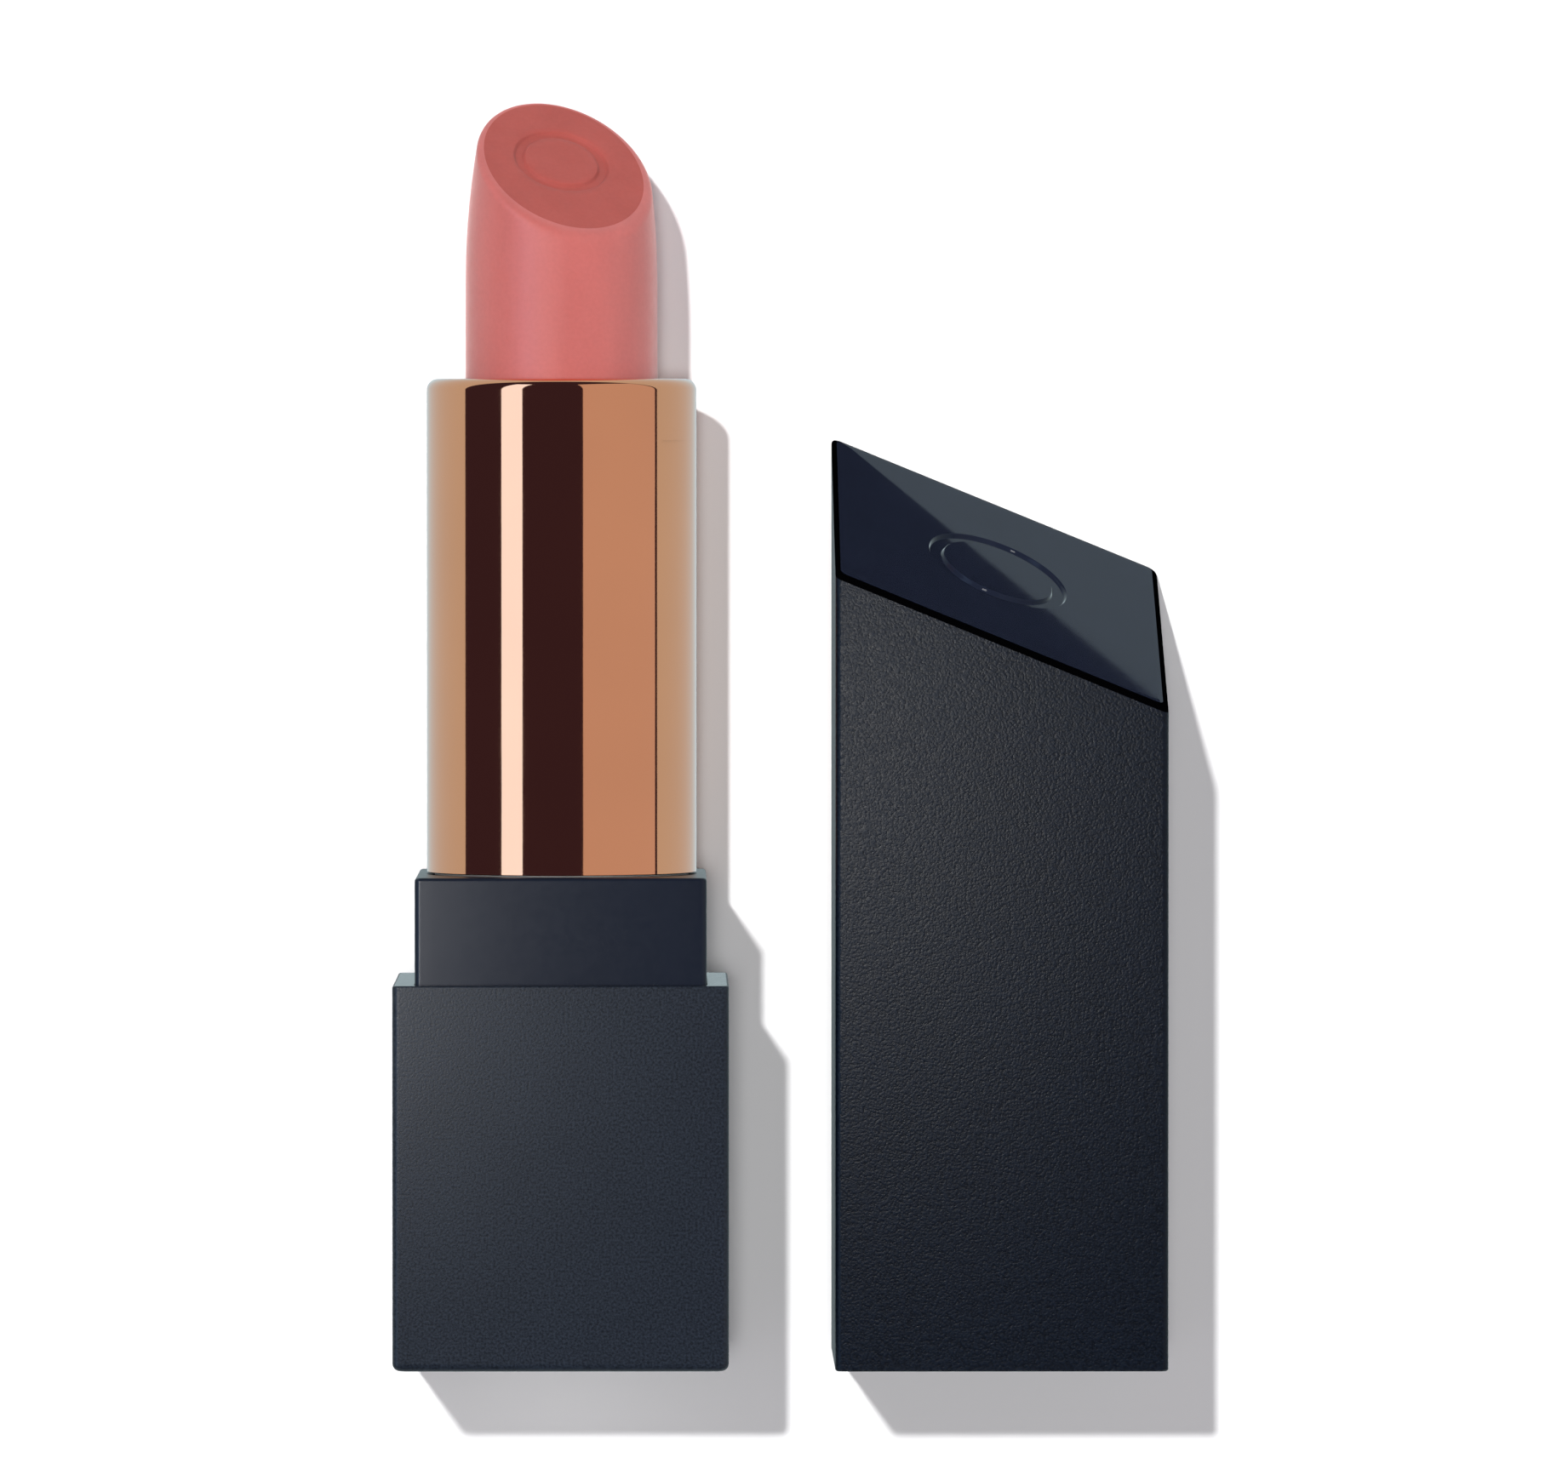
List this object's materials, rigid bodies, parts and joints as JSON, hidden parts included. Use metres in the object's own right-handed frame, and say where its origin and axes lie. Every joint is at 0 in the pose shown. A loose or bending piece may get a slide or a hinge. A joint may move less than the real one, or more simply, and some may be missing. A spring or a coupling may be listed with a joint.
{
  "type": "lipstick case",
  "caption": "Open twist-up lipstick case with a square base, a round metal tube, a slant-cut bullet and a square slant-topped cap lying beside it.",
  "frame": {"origin": "middle of the base's flat back face, on which the open case lies", "axes": "+Y along the case from the foot to the bullet, +Z out of the front face, +X to the right of the case, towards the cap"},
  "size_m": [0.0485, 0.0794, 0.021],
  "materials": {
    "base_soft_touch": "soft-touch matt coating",
    "label_paper": "blank matt paper",
    "slug_steel": "zinc-dipped steel slug",
    "shoulder_satin": "smooth satin moulding",
    "guide_plastic": "natural acetal",
    "brake_silicone": "translucent silicone",
    "tube_rose_gold": "polished rose-gold anodised",
    "spiral_plastic": "natural acetal",
    "cup_plastic": "black moulding",
    "bullet_wax": "matt rose-pink lipstick",
    "cap_soft_touch": "soft-touch matt sides, satin slanted top",
    "liner_plastic": "black moulding"
  },
  "bodies": {
    "base": {"base_shell": "base_soft_touch", "shade_label": "label_paper", "base_weight": "slug_steel", "shoulder_insert": "shoulder_satin", "guide_body": "guide_plastic", "brake_ring": "brake_silicone"},
    "tube": {"outer_tube": "tube_rose_gold", "spiral_sleeve": "spiral_plastic"},
    "carrier": {"bullet_cup": "cup_plastic", "bullet": "bullet_wax"},
    "cap": {"cap_shell": "cap_soft_touch", "cap_liner": "liner_plastic"}
  },
  "joints": [
    {"name": "tube_twist", "type": "hinge", "parent": "base", "child": "tube", "pos_m": [0, 0, 0.0105], "axis": [0, 1, 0], "range_deg": [0, 540]},
    {"name": "bullet_travel", "type": "slide", "parent": "base", "child": "carrier", "axis": [0, 1, 0], "range_m": [-0.01905, 0]},
    {"name": "cap_pull", "type": "slide", "parent": "base", "child": "cap", "axis": [0, 1, 0], "range_m": [0, 0.04]}
  ],
  "couplings": [
    {"joint": "bullet_travel", "follows": "tube_twist", "m_per_rad": -0.002016}
  ]
}
